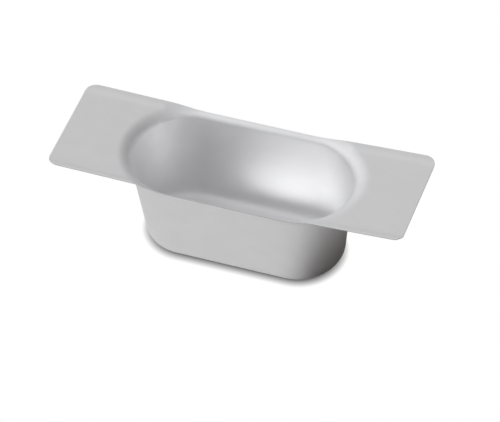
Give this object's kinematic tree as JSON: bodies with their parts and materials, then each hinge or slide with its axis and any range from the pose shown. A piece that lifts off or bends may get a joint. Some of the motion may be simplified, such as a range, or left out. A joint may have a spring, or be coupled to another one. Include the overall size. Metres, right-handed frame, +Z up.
{
  "type": "weighing boat",
  "caption": "Pressed metal weighing boat: a deep round-ended well in a thin strip, with a flat tab at each end for handling.",
  "frame": {"origin": "middle of the underside of the well's floor, on the surface it stands on", "axes": "+X along the strip towards the tab that turns up more, +Y across the strip, +Z up"},
  "size_m": [0.08, 0.0254, 0.025],
  "materials": {
    "aluminium": "satin rolled sheet"
  },
  "bodies": {
    "root": {"weighing_boat": "aluminium"}
  },
  "joints": []
}
